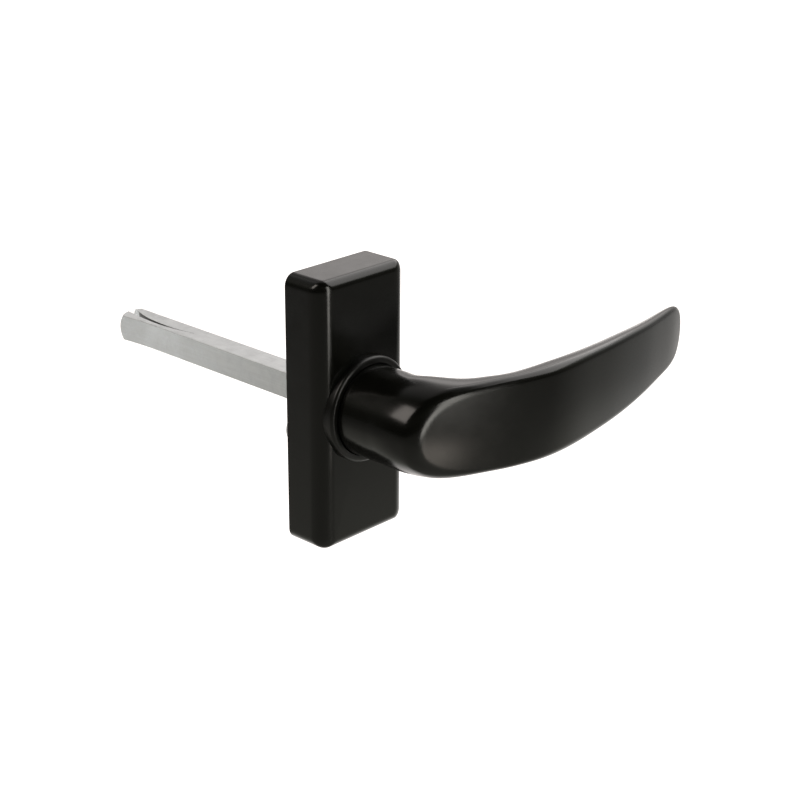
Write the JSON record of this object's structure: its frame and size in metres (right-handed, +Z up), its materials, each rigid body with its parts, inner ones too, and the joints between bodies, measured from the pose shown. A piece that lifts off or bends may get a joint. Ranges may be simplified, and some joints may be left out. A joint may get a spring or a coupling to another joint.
{
  "type": "window handle",
  "caption": "Window handle: curved grip on a round neck, narrow rectangular rose with rounded edges, and a long square spindle with a split end for the lock.",
  "frame": {"origin": "spindle axis at the back face of the base plate, where the handle lies on the window sash", "axes": "+X the way the grip points at rest (it hangs 1 degree below +X, as in the picture), +Y into the window along the spindle, +Z up along the rose"},
  "size_m": [0.1226, 0.1279, 0.07],
  "materials": {
    "black_coat": "satin black powder coat on cast aluminium",
    "black_coat_cover": "satin black powder coat",
    "black_nylon": "moulded black nylon",
    "white_nylon": "moulded natural nylon",
    "zinc_casting": "plain zinc die casting",
    "zinc_steel": "zinc plated steel",
    "plain_steel": "stamped steel",
    "spring_steel": "blued spring steel",
    "dark_steel": "blackened steel"
  },
  "bodies": {
    "base": {"base_plate": "zinc_casting", "bearing_plate": "plain_steel", "plate_rivets": "plain_steel", "thrust_washer": "white_nylon", "detent_spring_left": "spring_steel", "detent_spring_right": "spring_steel", "cover_clips": "spring_steel"},
    "rose": {"cover": "black_coat_cover", "collar_ring": "black_nylon"},
    "handle": {"lever": "black_coat", "spindle": "zinc_steel", "grub_screw": "dark_steel", "detent_cam": "dark_steel", "retaining_ring": "spring_steel"}
  },
  "joints": [
    {"name": "lever_turn", "type": "hinge", "parent": "base", "child": "handle", "pos_m": [0, 0, 0], "axis": [0, 1, 0], "range_deg": [-90, 90], "deforming": ["detent_spring_left", "detent_spring_right"]},
    {"name": "cover_lift", "type": "slide", "parent": "base", "child": "rose", "axis": [0, -1, 0], "range_m": [0, 0.0096]}
  ]
}
